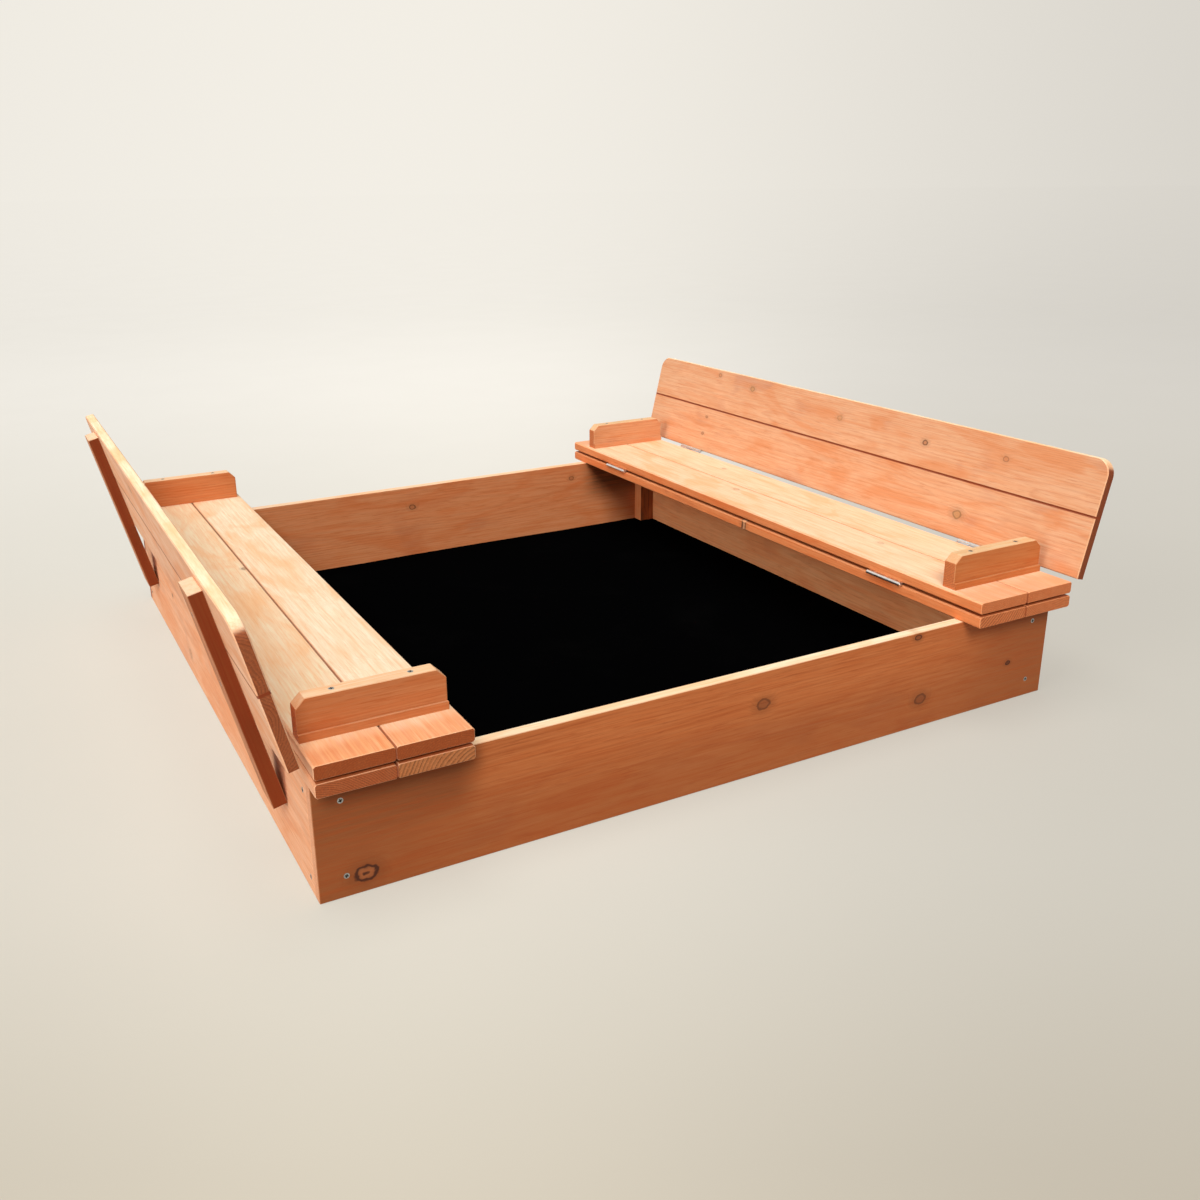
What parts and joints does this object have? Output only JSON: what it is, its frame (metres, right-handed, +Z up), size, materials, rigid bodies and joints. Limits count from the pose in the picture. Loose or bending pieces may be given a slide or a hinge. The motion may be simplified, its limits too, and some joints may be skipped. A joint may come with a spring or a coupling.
{
  "type": "sandbox with folding bench cover",
  "caption": "Square wooden sandbox on the ground, whose two-part cover folds open on butt hinges into facing benches with backrests and armrests.",
  "frame": {"origin": "bottom centre of the box, on the ground", "axes": "+X from the left bench to the right bench, +Y from the front wall to the back wall, +Z up"},
  "size_m": [1.3536, 1.247, 0.3773],
  "materials": {
    "wall_wood": "planed fir, clear satin coat",
    "post_wood": "planed fir, clear satin coat",
    "base_wood": "planed fir, clear satin coat",
    "seat_wood": "planed fir, clear satin coat",
    "armrest_wood": "planed fir, clear satin coat",
    "backrest_wood": "planed fir, clear satin coat",
    "batten_wood": "planed fir, clear satin coat",
    "hinge_steel": "bright zinc plated",
    "hinge_pin_steel": "bright zinc plated",
    "screw_steel": "bright zinc plated",
    "liner": "matt black non-woven ground cloth"
  },
  "bodies": {
    "box": {"front_wall": "wall_wood", "back_wall": "wall_wood", "left_wall": "wall_wood", "right_wall": "wall_wood", "corner_post_front_left": "post_wood", "corner_post_front_right": "post_wood", "corner_post_back_left": "post_wood", "corner_post_back_right": "post_wood", "wall_screws": "screw_steel", "ground_liner": "liner", "left_base_board_inner": "base_wood", "left_base_board_outer": "base_wood", "left_base_screws": "screw_steel", "left_seat_hinge_base_leaves": "hinge_steel", "left_seat_hinge_pins": "hinge_pin_steel", "right_base_board_inner": "base_wood", "right_base_board_outer": "base_wood", "right_base_screws": "screw_steel", "right_seat_hinge_base_leaves": "hinge_steel", "right_seat_hinge_pins": "hinge_pin_steel"},
    "left_seat": {"left_seat_board_inner": "seat_wood", "left_seat_board_outer": "seat_wood", "left_armrest_front": "armrest_wood", "left_armrest_back": "armrest_wood", "left_armrest_screws": "screw_steel", "left_seat_hinge_seat_leaves": "hinge_steel", "left_back_hinge_seat_leaves": "hinge_steel", "left_back_hinge_pins": "hinge_pin_steel"},
    "left_backrest": {"left_backrest_board_lower": "backrest_wood", "left_backrest_board_upper": "backrest_wood", "left_batten_front": "batten_wood", "left_batten_back": "batten_wood", "left_batten_screws": "screw_steel", "left_back_hinge_back_leaves": "hinge_steel"},
    "right_seat": {"right_seat_board_inner": "seat_wood", "right_seat_board_outer": "seat_wood", "right_armrest_front": "armrest_wood", "right_armrest_back": "armrest_wood", "right_armrest_screws": "screw_steel", "right_seat_hinge_seat_leaves": "hinge_steel", "right_back_hinge_seat_leaves": "hinge_steel", "right_back_hinge_pins": "hinge_pin_steel"},
    "right_backrest": {"right_backrest_board_lower": "backrest_wood", "right_backrest_board_upper": "backrest_wood", "right_batten_front": "batten_wood", "right_batten_back": "batten_wood", "right_batten_screws": "screw_steel", "right_back_hinge_back_leaves": "hinge_steel"}
  },
  "joints": [
    {"name": "left_seat_flip", "type": "hinge", "parent": "box", "child": "left_seat", "pos_m": [-0.3986, 0, 0.17525], "axis": [0, 1, 0], "range_deg": [0, 180]},
    {"name": "left_backrest_fold", "type": "hinge", "parent": "left_seat", "child": "left_backrest", "pos_m": [-0.59946, 0, 0.1963], "axis": [0, -1, 0], "range_deg": [0, 76.5]},
    {"name": "right_seat_flip", "type": "hinge", "parent": "box", "child": "right_seat", "pos_m": [0.3986, 0, 0.17525], "axis": [0, -1, 0], "range_deg": [0, 180]},
    {"name": "right_backrest_fold", "type": "hinge", "parent": "right_seat", "child": "right_backrest", "pos_m": [0.59946, 0, 0.1963], "axis": [0, 1, 0], "range_deg": [0, 76.5]}
  ],
  "couplings": [
    {"joint": "left_backrest_fold", "follows": "left_seat_flip", "ratio": 0.425},
    {"joint": "right_backrest_fold", "follows": "right_seat_flip", "ratio": 0.425}
  ]
}
